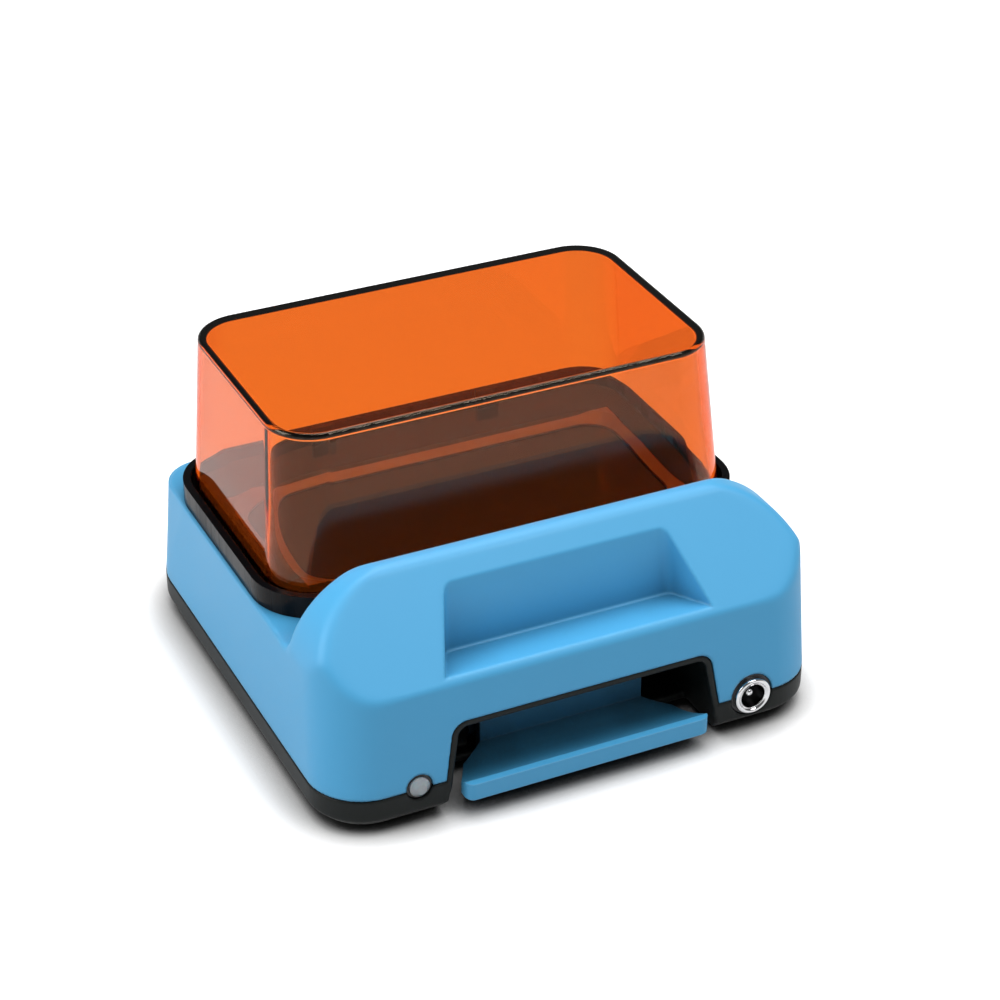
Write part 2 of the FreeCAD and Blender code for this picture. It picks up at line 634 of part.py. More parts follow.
# Lower base: a black tray whose arched bay lines the finger slot
base = add_body("lower_base")
raise_from(base, "tray", "base_bottom", BASE_TOP, [outline("0")])
raise_from(base, "lip", BASE_TOP, BASE_TOP + " + lip_height",
           [outline("(shell_wall + lip_gap)", "(shell_wall + lip_gap + %s)" % LIP_RAKE)])
sink(base, "tray_hollow", FLOOR_TOP, BASE_TOP + " + lip_height",
     [outline(BASE_WALL, "(%s + %s)" % (BASE_WALL, LIP_RAKE))])
from_front(base, "Pad", "bay", "0", "bay_depth", loops=[slot_outline("liner_gap", "base_bottom")])
soften(base, "Chamfer", "bottom_bevel", base.Tip, "base_edge",
       lambda middle, edge: edge.BoundBox.ZLength < 0.001
       and abs(middle.z - value("base_bottom")) < 0.001)
from_front(base, "Pocket", "bay_mouth", FAR_FRONT, "bay_floor_start",
           loops=[slot_outline("(liner_gap + liner_wall)", "(-base_bottom)")])
from_front(base, "Pocket", "bay_hollow", "bay_floor_start", "bay_depth - liner_wall",
           loops=[slot_outline("(liner_gap + liner_wall)", FLOOR_TOP)])
lean_at = "(front_lean * (%s - split_height) / " + MOULD_RISE + " + liner_step)"
liner_face = add_sketch(base, "liner_face_outline", "YZ_Plane", "0",
                        [[(FAR_FRONT, BASE_TOP), ("liner_step", BASE_TOP),
                          (lean_at % "deck_height", "deck_height"), (FAR_FRONT, "deck_height")]])
extrude(base, "Pocket", "liner_face", liner_face, "slot_half_foot * 2", both=True)
from_front(base, "Pocket", "base_jack_opening", FAR_FRONT, INNER_FRONT, "jack_x", "jack_height",
           "jack_hole")
from_front(base, "Pocket", "base_light_opening", FAR_FRONT, INNER_FRONT, "light_x", "light_height",
           "light_hole")
for side in SIDES:
    tag = "left" if side == "-1" else "right"
    for row in ROWS:
        name = tag + "_" + row
        post(base, "base_boss_" + name, side + " * boss_x", "boss_" + row, FLOOR_TOP, BASE_TOP, "boss_dia")
        bore(base, "base_hole_" + name, side + " * boss_x", "boss_" + row, "0", BASE_TOP + " + lip_height",
             "screw_dia + fit_run * 2")
        bore(base, "screw_seat_" + name, side + " * boss_x", "boss_" + row, "0", "screw_seat",
             "screw_head + fit_gap")
        for board, low, top in (("engine", "post_top", BOARD_TOP), ("power", "power_height", POWER_TOP)):
            x, y = "%s * %s_post_x" % (side, board), "%s_post_%s" % (board, row)
            raise_from(base, board + "_post_" + name, FLOOR_TOP, low, [square("post_half", x, y)])
            raise_from(base, board + "_peg_" + name, low, top + " + peg_proud", [square("peg_half", x, y)])
    ear = [("pin_place - hub_radius", FLOOR_TOP + " - base_floor / 2"),
           ("pin_place + hub_radius", FLOOR_TOP + " - base_floor / 2"),
           ("pin_place + hub_radius", "pin_height + hub_radius", "hub_radius - fit_run"),
           ("pin_place - hub_radius", "pin_height + hub_radius", "hub_radius - fit_run")]
    start = "%s * (neck_half + ear_gap + ear_thick / 2)" % side
    sketch = add_sketch(base, "ear_outline_" + tag, "YZ_Plane", start, [ear])
    extrude(base, "Pad", "ear_" + tag, sketch, "ear_thick", both=True)
    sketch = circle_sketch(base, "ear_hole_circle_" + tag, "YZ_Plane", start, "pin_place", "pin_height",
                           "pin_dia + fit_press * 2")
    extrude(base, "Pocket", "ear_hole_" + tag, sketch, "ear_thick * 2", both=True)
post(base, "spring_pillar", "spring_x", "spring_place", "pillar_low", ROOF_LOW + " + liner_wall / 2",
     "(spring_radius + spring_wire) * 2")
raise_from(base, "switch_pillar", "pillar_low", ROOF_LOW + " + liner_wall / 2",
           [square("switch_half", "switch_x", "switch_place")])
from_front(base, "Pocket", "wire_hole", "bay_depth - liner_wall * 2", "bay_depth + liner_wall", "switch_x",
           "switch_wire_height", "wire_radius * 2 + fit_gap * 2")
keep("lower_base", base)

# Platform frame: the glossy ring with the groove that the cover stands in
frame = add_body("platform_frame")
raise_from(frame, "ring", "deck_height", "rim_top",
           [box_corners("frame_half", "frame_front", "frame_rear", "frame_corner", "frame_corner")])
rim_inside = box_corners("frame_half - rim_wall", "frame_front + rim_wall", "frame_rear - rim_wall",
                         "frame_corner - rim_wall", "frame_corner - rim_wall")
bezel = box_corners("cover_half_low - " + BEZEL_INSET, "cover_front_low + " + BEZEL_INSET,
                    "cover_rear - " + BEZEL_INSET, "cover_corner - " + BEZEL_INSET,
                    "cover_corner - " + BEZEL_INSET)
sink(frame, "groove", "groove_floor", "rim_top", [rim_inside, bezel])
sink(frame, "bezel_face", "bezel_top", "rim_top + rim_wall", [bezel])
raise_from(frame, "skirt", "deck_height - skirt_depth", "groove_floor", [window_outline(SKIRT)])
sink(frame, "glass_pocket", "deck_height - skirt_depth", GLASS_TOP,
     [window_outline("(glass_border + fit_gap)")])
low = add_sketch(frame, "window_low", "XY_Plane", "bezel_top - window_drop", [window_outline("0")])
high = add_sketch(frame, "window_high", "XY_Plane", "bezel_top", [window_outline("window_slope")])
slope = frame.newObject("PartDesign::SubtractiveLoft", "window_slope")
slope.Profile = low
slope.Sections = [high]
slope.Ruled = True
doc.recompute()
sink(frame, "window", "deck_height", "bezel_top", [window_outline("0")])
for side in SIDES:
    tag = "left" if side == "-1" else "right"
    rear = "cover_rear - " + BEZEL_INSET
    raise_from(frame, "lug_" + tag, "bezel_top - window_drop", "lug_top",
               [rectangle("lug_width / 2", side + " * lug_place", rear + " - lug_thick", rear)])
    for row, place in (("front", "window_front + window_corner"),
                       ("rear", "window_rear - window_corner - hook_width")):
        root = "window_half + %s" % SKIRT
        for piece, top, inner, outer in (("arm", "deck_height", root + " - skirt_wall", root),
                                         ("nose", DECK_LOW + " - fit_run", root, root + " + hook_reach")):
            half, middle = "((%s) - (%s)) / 2" % (outer, inner), "((%s) + (%s)) / 2" % (outer, inner)
            raise_from(frame, "hook_%s_%s_%s" % (piece, tag, row), HOOK_LOW, top,
                       [rectangle(half, "%s * %s" % (side, middle), place, place + " + hook_width")])
keep("platform_frame", frame)

# Viewing window and light box, stacked under the frame
plate("filter_glass", GLASS_LOW, GLASS_TOP, [window_outline("glass_border")])
plate("filter_gasket", SEAL_LOW, GLASS_LOW,
      [window_outline("glass_border"), window_outline("(glass_border - seal_band)")])
plate("diffuser_sheet", DIFFUSER_LOW, SEAL_LOW, [window_outline("glass_border")])


def funnel(name, inset):
    """The light box as one block, or set in by its wall."""
    foot_inset = "(light_foot_inset + %s)" % inset
    head_inset = "(%s - glass_border)" % inset
    foot = ("window_half - " + foot_inset, "window_front + " + foot_inset, "window_rear - " + foot_inset)
    head = ("window_half - " + head_inset, "window_front + " + head_inset, "window_rear - " + head_inset)
    radius = "window_corner - %s" % inset
    return leaning_box(name, BOARD_TOP, DIFFUSER_LOW, foot, head, (radius, radius))


light_box = funnel("reflector_box", "0")
join(light_box, "Cut", "light_box_hollow", [funnel("light_box_inside", "light_wall")])
keep("reflector_box", light_box)
board_outline = rectangle("board_half", "0", "board_front", "board_rear")
plate("heat_spreader", "post_top", BOARD_LOW, [board_outline] + peg_holes("engine"))
plate("led_board", BOARD_LOW, BOARD_TOP, [board_outline] + peg_holes("engine"))
led_base = block("led_base", ("-led_body / 2", HALF_DEPTH + " - led_body / 2", "0"),
                 ("led_body / 2", HALF_DEPTH + " + led_body / 2", "led_tall / 2"))
led = fuse("led", [led_base, prism("led_lens_bar", 8, "led_lens / 2", "led_tall", ("0", HALF_DEPTH, "0"))])
led_places = []
for column in range(int(value("led_columns"))):
    for row in range(int(value("led_rows"))):
        x = "(%d - (led_columns - 1) / 2) * led_pitch" % column
        y = "(window_front + window_rear) / 2 + (%d - (led_rows - 1) / 2) * led_pitch_deep" % row
        led_places.append((x, "%s - %s" % (y, HALF_DEPTH), BOARD_TOP))
group("blue_leds", led.Shape, led_places)

# Amber cover: a thick clear box, open below, that stands in the groove


def cover_form(name, inset):
    """The cover as one block, or with an inset the space inside it."""
    foot = ("cover_half_low - %s" % inset, "cover_front_low + %s" % inset, "cover_rear - %s" % inset)
    head = ("cover_half_top - %s" % inset, "cover_front_top + %s" % inset, "cover_rear - %s" % inset)
    radius = "cover_corner - %s" % inset
    return leaning_box(name, "groove_floor", "cover_top - %s" % inset, foot, head, (radius, radius))


cover = cover_form("amber_cover", "0")
soften(cover, "Chamfer", "cover_top_bevel", cover.Tip, "cover_edge",
       lambda middle, edge: edge.BoundBox.ZLength < 0.001 and abs(middle.z - value("cover_top")) < 0.001)
join(cover, "Cut", "cover_hollow", [cover_form("cover_inside", "cover_wall")])
keep("amber_cover", cover)

# Light lever: a scooped finger lip, an upright, a hub and a tail
lever = add_body("light_lever")
plan = [("-lip_half", "-lip_out", "lip_corner"), ("lip_half", "-lip_out", "lip_corner"),
        ("lip_half", "neck_start"), ("neck_wide", "neck_bend"), ("neck_half", "upright_front"),
        ("neck_half", "upright_front + upright_thick"), ("-neck_half", "upright_front + upright_thick"),
        ("-neck_half", "upright_front"), ("-neck_wide", "neck_bend"), ("-lip_half", "neck_start")]
raise_from(lever, "lever_slab", "lip_low", "lip_top", [plan])
scoop = circle_sketch(lever, "scoop_circle", "YZ_Plane", "0", "scoop_place", "scoop_low + scoop_radius",
                      "scoop_radius * 2")
extrude(lever, "Pocket", "finger_scoop", scoop, "lip_half * 4", both=True)
raise_from(lever, "upright", "lip_low", "upright_top",
           [rectangle("neck_half", "0", "upright_front", "upright_front + upright_thick")])
raise_from(lever, "tail", "tail_top - tail_thick", "tail_top",
           [rectangle("neck_half - upright_thick", "0", "upright_front", "tail_end")])
for kind, width in (("Pad", "hub_radius * 2"), ("Pocket", "pin_dia + pin_run * 2")):
    ring = circle_sketch(lever, "hub_circle_" + kind, "YZ_Plane", "0", "pin_place", "pin_height", width)
    extrude(lever, kind, "hub_" + kind, ring, "neck_half * 2", both=True)
soften(lever, "Chamfer", "lip_bevel", lever.Tip, "lip_edge",
       lambda middle, edge: middle.y < value("neck_start - lip_edge - " + HALF_DEPTH)
       and edge.BoundBox.ZLength < 0.001 and middle.z < value("lip_low + lip_edge"))
keep("light_lever", lever)
keep("lever_pin", cylinder("lever_pin", "pin_dia / 2", "(neck_half + ear_gap + ear_thick) * 2",
                           ("-(neck_half + ear_gap + ear_thick)", "pin_place", "pin_height"), "X"))
coil_radius = "spring_radius - spring_wire / 2"
coil_rise = "pillar_low - tail_top - spring_wire"
helix = Part.makeHelix(value("(%s) / spring_turns" % coil_rise), value(coil_rise), value(coil_radius))
wire_side = value("spring_wire / 2")
wire_corners = [Vector(value(coil_radius) + x * wire_side, 0, z * wire_side)
                for x, z in ((-1, -1), (1, -1), (1, 1), (-1, 1), (-1, -1))]
spring = doc.addObject("Part::Feature", "lever_spring")
spring.Shape = Part.Wire(helix).makePipeShell([Part.makePolygon(wire_corners)], True, True)
keep("lever_spring", set_down(spring, ("spring_x", "spring_place", "tail_top + spring_wire / 2")))
switch = add_body("lever_switch")
raise_from(switch, "switch_case", "switch_low", "pillar_low",
           [square("switch_half", "switch_x", "switch_place")])
bore(switch, "switch_bore", "switch_x", "switch_place", "switch_low",
     "switch_low + plunger_depth + switch_travel", "(plunger_radius + pin_run) * 2")
keep("lever_switch", switch)
keep("switch_plunger", cylinder("switch_plunger", "plunger_radius",
                                "switch_low + plunger_depth - tail_top - switch_play",
                                ("switch_x", "switch_place", "tail_top + switch_play")))

# Power socket in the front face: a block, a bright ring and a centre pin
jack = add_body("dc_jack_body")
from_front(jack, "Pad", "jack_block", INNER_FRONT, INNER_FRONT + " + jack_depth",
           loops=[[("jack_x - jack_block", FLOOR_TOP), ("jack_x + jack_block", FLOOR_TOP),
                   ("jack_x + jack_block", "jack_height + jack_block"),
                   ("jack_x - jack_block", "jack_height + jack_block")]])
from_front(jack, "Pad", "jack_collar", "lip_gap * 4", INNER_FRONT, "jack_x", "jack_height",
           "jack_hole - lip_gap * 2")
from_front(jack, "Pocket", "jack_seat", "0", "jack_ring_end", "jack_x", "jack_height",
           "jack_ring + fit_run * 2")
keep("dc_jack_body", jack)
ring = add_body("dc_jack_ring")
from_front(ring, "Pad", "ring_bar", "-jack_proud", "jack_ring_end", "jack_x", "jack_height", "jack_ring")
from_front(ring, "Pocket", "ring_bore", "-jack_proud * 2", "jack_ring_end", "jack_x", "jack_height",
           "jack_bore")
keep("dc_jack_ring", ring)
keep("dc_jack_pin", cylinder("dc_jack_pin", "jack_pin / 2", "jack_ring_end - lip_gap * 4",
                             ("jack_x", "lip_gap * 4", "jack_height"), "Y"))
tab = block("tab", ("-tab_width / 2", HALF_DEPTH, "0"),
            ("tab_width / 2", HALF_DEPTH + " + tab_length", "tab_thick"))
tab_places = [("jack_x + (%s) * tab_width" % share, "%s - %s" % (JACK_REAR, HALF_DEPTH), height)
              for share, height in (("-1", "jack_height"), ("1", "jack_height"),
                                    ("0", "jack_height - jack_block / 2"))]
group("jack_tabs", tab.Shape, tab_places)

# Status light: a milky lens with a bevelled tip in a dark sleeve
holder = add_body("status_light_holder")
from_front(holder, "Pad", "holder_block", INNER_FRONT, INNER_FRONT + " + light_depth",
           loops=[[("light_x - light_block", FLOOR_TOP), ("light_x + light_block", FLOOR_TOP),
                   ("light_x + light_block", "light_height + light_block"),
                   ("light_x - light_block", "light_height + light_block")]])
from_front(holder, "Pad", "holder_sleeve", "lip_gap * 4", INNER_FRONT, "light_x", "light_height",
           "light_hole - lip_gap * 2")
from_front(holder, "Pocket", "holder_bore", "0", INNER_FRONT + " + light_depth", "light_x", "light_height",
           "light_dia + fit_run * 2")
keep("status_light_holder", holder)
bar = cylinder("light_bar", "light_dia / 2", LIGHT_REAR, ("light_x", "0", "light_height"), "Y")
flange = cylinder("light_flange_bar", "light_dia / 2 + fit_gap", "board_thick / 2",
                  ("light_x", LIGHT_REAR, "light_height"), "Y")
dome = doc.addObject("Part::Cone", "light_dome")
give(dome, "Radius1", "light_tip / 2")
give(dome, "Radius2", "light_dia / 2")
give(dome, "Height", "light_proud")
set_down(dome, ("light_x", "-light_proud", "light_height"), ALONG_DEPTH)
keep("status_light", fuse("status_light", [bar, flange, dome]))

# Power board behind the light engine, held on square pegs of the base
plate("power_board", "power_height", POWER_TOP,
      [rectangle("power_half", "0", "power_front", "power_rear")] + peg_holes("power"))
POWER_MIDDLE = "(power_front + power_rear) / 2"
parts_on_board = [cylinder("capacitor_%d" % number, "capacitor_radius", "capacitor_tall",
                           ("capacitor_x + %d * capacitor_pitch" % number, POWER_MIDDLE, POWER_TOP))
                  for number in range(2)]
for word in ("coil", "chip"):
    x, half, tall = word + "_x", word + "_half", word + "_tall"
    parts_on_board.append(block(word, ("%s - %s" % (x, half), "%s - %s" % (POWER_MIDDLE, half), POWER_TOP),
                                ("%s + %s" % (x, half), "%s + %s" % (POWER_MIDDLE, half),
                                 "%s + %s" % (POWER_TOP, tall))))
components = doc.addObject("Part::Compound", "board_components")
components.Links = parts_on_board
keep("board_components", components)
PLUG_START, PLUG_END = "side_plug_place - plug_size / 2", "side_plug_place + plug_size / 2"
PLUG_TOP = POWER_TOP + " + plug_tall"
connectors = []
for name, low, high in (
        ("jack_plug", (PLUG_INSIDE, PLUG_START, POWER_TOP), ("power_half", PLUG_END, PLUG_TOP)),
        ("status_plug", ("-power_half", PLUG_START, POWER_TOP), ("-" + PLUG_INSIDE, PLUG_END, PLUG_TOP)),
        ("led_plug", ("-plug_size", "power_front", POWER_TOP), ("0", "power_front + plug_size", PLUG_TOP)),
        ("switch_plug", ("switch_x - plug_size / 2", "power_front", POWER_TOP),
         ("switch_x + plug_size / 2", "power_front + plug_size", PLUG_TOP)),
        ("board_plug", ("-plug_size", "board_rear - plug_flat", BOARD_TOP),
         ("0", "board_rear", BOARD_TOP + " + plug_flat"))):
    connectors.append(block(name, low, high))
plugs = doc.addObject("Part::Compound", "cable_connectors")
plugs.Links = connectors
keep("cable_connectors", plugs)
side_cable("jack_cable", "1", "jack_x", JACK_REAR + " + tab_length", "jack_height")
side_cable("status_cable", "-1", "light_x", LIGHT_REAR + " + board_thick / 2", "light_height")
BOARD_PLUG_MIDDLE = BOARD_TOP + " + plug_flat / 2"
cable("led_cable", [
    ("-plug_size / 2", "board_rear", BOARD_PLUG_MIDDLE),
    ("-plug_size / 2", "board_rear + cable_stub", BOARD_PLUG_MIDDLE),
    ("-plug_size / 2", "power_front - cable_stub", PLUG_MIDDLE),
    ("-plug_size / 2", "power_front", PLUG_MIDDLE)])
cable("switch_cable", [
    ("switch_x", "switch_place + switch_half", "switch_wire_height"),
    ("switch_x", "bay_depth + wire_radius * 2", "switch_wire_height"),
    ("switch_x", "bay_depth + wire_radius * 3", "post_top - wire_radius * 2"),
    ("switch_x", "board_front + wire_radius * 4", FLOOR_RUN),
    ("switch_x", "board_rear - cable_stub", FLOOR_RUN),
    ("switch_x", "power_front - cable_stub", PLUG_MIDDLE),
    ("switch_x", "power_front", PLUG_MIDDLE)])

# Feet and fasteners
foot = cylinder("foot", "foot_dia / 2", "base_bottom", ("0", HALF_DEPTH, "0"))
group("rubber_feet", foot.Shape,
      [(side + " * foot_x", "foot_%s - %s" % (row, HALF_DEPTH), "0") for side in SIDES for row in ROWS])


def screw(name, diameter, head, head_tall, length):
    """A screw at the origin with its six-sided head below and its shank up."""
    shank = cylinder(name + "_shank", diameter + " / 2", length, ("0", HALF_DEPTH, "0"))
    cap = prism(name + "_head", 6, head + " / 2", head_tall, ("0", HALF_DEPTH, "-" + head_tall))
    return fuse(name, [shank, cap]).Shape


housing_screw = screw("housing_screw", "screw_dia", "screw_head", "screw_head_tall",
                      "screw_length - screw_head_tall")
group("housing_screws", housing_screw,
      [(side + " * boss_x", "boss_%s - %s" % (row, HALF_DEPTH), "screw_seat")
       for side in SIDES for row in ROWS])

# Checks, then one file for each piece
doc.recompute()
for item in doc.Objects:
    if "Invalid" in item.State or "Error" in item.State:
        raise RuntimeError("%s failed" % item.Name)
for name, item in nodes.items():
    if item.Shape.isNull() or not item.Shape.isValid():
        raise RuntimeError("%s has no valid shape" % name)
for name, item in nodes.items():
    item.Shape.exportStep("parts/%s.step" % name)
print("wrote %d pieces" % len(nodes))
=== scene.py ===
import json
import math

import bmesh
import bpy
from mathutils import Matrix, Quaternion, Vector

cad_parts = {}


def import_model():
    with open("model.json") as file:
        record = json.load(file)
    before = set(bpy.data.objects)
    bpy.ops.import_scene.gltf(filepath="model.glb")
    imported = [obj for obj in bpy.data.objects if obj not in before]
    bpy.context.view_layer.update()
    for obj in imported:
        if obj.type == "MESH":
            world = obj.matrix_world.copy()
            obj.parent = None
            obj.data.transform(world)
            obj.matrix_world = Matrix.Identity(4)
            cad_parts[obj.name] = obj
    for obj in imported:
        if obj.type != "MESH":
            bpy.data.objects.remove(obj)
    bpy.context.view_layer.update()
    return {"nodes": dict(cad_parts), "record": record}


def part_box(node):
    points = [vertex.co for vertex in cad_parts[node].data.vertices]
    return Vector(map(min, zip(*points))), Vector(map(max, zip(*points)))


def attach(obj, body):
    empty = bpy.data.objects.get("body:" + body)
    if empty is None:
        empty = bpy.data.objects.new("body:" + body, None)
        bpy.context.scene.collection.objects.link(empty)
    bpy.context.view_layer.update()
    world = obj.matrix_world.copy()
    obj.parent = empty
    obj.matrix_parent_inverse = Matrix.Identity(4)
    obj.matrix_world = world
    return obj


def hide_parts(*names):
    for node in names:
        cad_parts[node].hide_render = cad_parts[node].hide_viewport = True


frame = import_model()
NODES = frame["nodes"]
SLOTS = {part["node"]: part["material_slot"] for part in frame["record"]["subparts"]}
MM = 0.001

# Camera that matches the photograph: a long lens, above and to the left of the front
CAMERA_PLACE = Vector((-234.8, -510.5, 378.7)) * MM
CAMERA_TARGET = Vector((14.91, 14.03, 30.0)) * MM
CAMERA_ROLL = math.radians(0.04)
LENS = 95.19
SENSOR = 36.0

# Colours as linear light
BLUE = (0.085, 0.45, 0.80)
BLUE_DEEP = (0.078, 0.425, 0.77)
BLACK = (0.005, 0.0065, 0.006)
SOFT_BLACK = (0.008, 0.011, 0.0105)

# Width of the satin bezel beyond the edge of the glass, where a painted reflection of the amber cover is
# laid on
BEZEL_BAND = 0.3 * MM

# Where edges grow softer towards the ends of the hood: distance from the middle, and height
SOFT_SIDE = (46.0 * MM, 56.0 * MM)
SOFT_RISE = (26.0 * MM, 32.0 * MM)

# Depth over which the painted shade behind the lip of the lever fades in, in millimetres
FADE_RUN = 9.0


# Node helpers
def new_material(name):
    """A material with an empty node tree and its output."""
    made = bpy.data.materials.new(name)
    made.use_nodes = True
    tree = made.node_tree
    tree.nodes.clear()
    return made, tree, tree.nodes.new("ShaderNodeOutputMaterial")


def add(tree, kind, links=None, **values):
    """A node with values on its sockets and links into them."""
    node = tree.nodes.new(kind)
    for key, amount in values.items():
        if key in node.inputs.keys():
            node.inputs[key].default_value = amount
        else:
            setattr(node, key, amount)
    for key, source in (links or {}).items():
        tree.links.new(source, node.inputs[key])
    return node


def noise(tree, scale, detail=3.0, stretch=None):
    """Noise in the part's own frame, stretched along an axis where a scale is given."""
    place = add(tree, "ShaderNodeTexCoord").outputs["Object"]
    if stretch:
        place = add(tree, "ShaderNodeMapping", {"Vector": place}, Scale=stretch).outputs["Vector"]
    return add(tree, "ShaderNodeTexNoise", {"Vector": place}, Scale=scale, Detail=detail).outputs["Fac"]


def axes(tree):
    """Coordinates in the part's own frame, one output for each axis."""
    place = add(tree, "ShaderNodeTexCoord").outputs["Object"]
    return add(tree, "ShaderNodeSeparateXYZ", {0: place}).outputs


def spread(tree, source, low, high, start=0.3, end=0.7):
    """A value carried over from one range to another."""
    return add(tree, "ShaderNodeMapRange", {"Value": source},
               **{"From Min": start, "From Max": end, "To Min": low, "To Max": high}).outputs["Result"]


def tint(tree, source, low, high):
    """A colour between two, by a value from 0 to 1. Each is a plain colour or a socket."""
    mix = add(tree, "ShaderNodeMix", data_type="RGBA")
    tree.links.new(source, mix.inputs["Factor"])
    for key, colour in (("A", low), ("B", high)):
        socket = [s for s in mix.inputs if s.name == key and s.type == "RGBA"][0]
        if isinstance(colour, tuple):
            socket.default_value = (*colour, 1.0)
        else:
            tree.links.new(colour, socket)
    return [s for s in mix.outputs if s.type == "RGBA"][0]


def paler(colour, share):
    """The colour moved towards white by a share."""
    return tuple(c + (1.0 - c) * share for c in colour)


def soft_radius(tree, edge, wide):
    """Bevel radius that grows towards the two ends of the hood."""
    place = axes(tree)
    side = add(tree, "ShaderNodeMath", {0: place["X"]}, operation="ABSOLUTE").outputs[0]
    out = spread(tree, side, 0.0, 1.0, *SOFT_SIDE)
    high = spread(tree, place["Z"], 0.0, 1.0, *SOFT_RISE)
    both = add(tree, "ShaderNodeMath", {0: out, 1: high}, operation="MULTIPLY").outputs[0]
    return spread(tree, both, edge * MM, wide * MM, 0.0, 1.0)


def plastic(name, colour, deep, rough, grain=2600.0, depth=0.006, edge=0.25,
            shade=0.0, reach=10.0, behind=None, wide=None, gloss=0.5, edge_wear_and_highlight=0.12):
    """Moulded plastic: spark grain, slow changes of tone and gloss, paler edges partly from rubbed wear and
    partly a painted highlight, painted shade in corners and recesses.
    """
    made, tree, out = new_material(name)
    slow = noise(tree, 22.0, 2.0)
    fine = noise(tree, grain, 2.0)
    bevel = add(tree, "ShaderNodeBevel", Radius=edge * MM, samples=4)
    if wide:
        tree.links.new(soft_radius(tree, edge, wide), bevel.inputs["Radius"])
    flat = add(tree, "ShaderNodeNewGeometry").outputs["Normal"]
    # Paler edges: partly rubbed wear, partly a painted highlight along the rounded edges.
    turn = add(tree, "ShaderNodeVectorMath", {0: bevel.outputs["Normal"], 1: flat}, operation="DOT_PRODUCT")
    worn_and_highlit_edge = spread(tree, turn.outputs["Value"], 1.0, 0.0, 0.8, 1.0)
    tone = tint(tree, slow, deep, colour)
    tone = tint(tree, worn_and_highlit_edge, tone, paler(colour, edge_wear_and_highlight))
    # Painted shade: the colour darkens to near black where ambient occlusion finds corners, recesses and the
    # slot behind the lever's lip.
    if shade:
        near = add(tree, "ShaderNodeAmbientOcclusion", Distance=reach * MM, samples=4).outputs["AO"]
        dark = spread(tree, near, shade, 0.0, 0.15, 0.9)
        if behind is not None:
            fade = spread(tree, axes(tree)["Y"], 0.0, 1.0, behind * MM, (behind + FADE_RUN) * MM)
            dark = add(tree, "ShaderNodeMath", {0: dark, 1: fade}, operation="MULTIPLY").outputs[0]
        tone = tint(tree, dark, tone, tuple(0.04 * c for c in colour))
    bump = add(tree, "ShaderNodeBump", {"Height": fine, "Normal": bevel.outputs["Normal"]},
               Strength=0.25, Distance=depth * MM)
    shader = add(tree, "ShaderNodeBsdfPrincipled",
                 {"Base Color": tone, "Roughness": spread(tree, slow, rough - 0.04, rough + 0.04),
                  "Normal": bump.outputs["Normal"]})
    shader.inputs["Specular IOR Level"].default_value = gloss
    tree.links.new(shader.outputs["BSDF"], out.inputs["Surface"])
    return made


def between(tree, place, low, high, run):
    """1 inside a range of one coordinate and 0 outside, in metres, with short ramps."""
    rise = spread(tree, place, 0.0, 1.0, low - run, low)
    fall = spread(tree, place, 1.0, 0.0, high, high + run)
    return add(tree, "ShaderNodeMath", {0: rise, 1: fall}, operation="MULTIPLY").outputs[0]


def gloss_black(name):
    """Polished black rim with faint upright streaks, and a satin bezel round the window in a lighter warm
    brown that is a painted reflection of the amber cover.
    """
    made, tree, out = new_material(name)
    place = axes(tree)
    normal = add(tree, "ShaderNodeSeparateXYZ", {0: add(tree, "ShaderNodeNewGeometry").outputs["Normal"]})
    level = add(tree, "ShaderNodeMath", {0: normal.outputs["Z"]}, operation="ABSOLUTE").outputs[0]
    streak = noise(tree, 260.0, 3.0, (1.0, 1.0, 0.04))
    streak = add(tree, "ShaderNodeMath", {0: streak, 1: spread(tree, level, 1.0, 0.6, 0.2, 0.6)},
                 operation="MULTIPLY").outputs[0]
    tone = tint(tree, spread(tree, streak, 0.0, 1.0, 0.35, 0.7),
                (0.004, 0.004, 0.005), (0.014, 0.013, 0.013))
    rounded = add(tree, "ShaderNodeBevel", Radius=0.3 * MM, samples=4).outputs["Normal"]
    rim = add(tree, "ShaderNodeBsdfPrincipled",
              {"Base Color": tone, "Roughness": spread(tree, streak, 0.14, 0.42), "Normal": rounded})
    rim.inputs["Specular IOR Level"].default_value = 0.10
    # Painted reflection: the bezel gets a lighter warm brown that stands in for the amber cover mirrored in
    # the black frame.
    cloud = noise(tree, 120.0, 3.0)
    bezel_painted_reflection = add(tree, "ShaderNodeBsdfPrincipled",
                {"Base Color": tint(tree, cloud, (0.10, 0.065, 0.05), (0.13, 0.085, 0.06)),
                 "Roughness": spread(tree, cloud, 0.30, 0.38), "Normal": rounded})
    low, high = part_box("filter_glass")
    inner = [between(tree, place["XYZ"[k]], low[k] - BEZEL_BAND, high[k] + BEZEL_BAND, 0.3 * MM)
             for k in (0, 1)]
    inside = add(tree, "ShaderNodeMath", {0: inner[0], 1: inner[1]}, operation="MULTIPLY").outputs[0]
    both = add(tree, "ShaderNodeMixShader", {0: inside, 1: rim.outputs["BSDF"], 2: bezel_painted_reflection.outputs["BSDF"]})
    tree.links.new(both.outputs[0], out.inputs["Surface"])
    return made


def metal(name, colour, rough, stretch):
    """Plated or rolled metal with a faint grain along one way."""
    made, tree, out = new_material(name)
    grain = noise(tree, 900.0, 2.0, stretch)
    bump = add(tree, "ShaderNodeBump", {"Height": grain}, Strength=0.15, Distance=0.002 * MM)
    shader = add(tree, "ShaderNodeBsdfPrincipled",
                 {"Base Color": tint(tree, grain, tuple(0.9 * c for c in colour), colour),
                  "Roughness": spread(tree, grain, rough - 0.03, rough + 0.05),
                  "Normal": bump.outputs["Normal"]}, Metallic=1.0)
    tree.links.new(shader.outputs["BSDF"], out.inputs["Surface"])
    return made


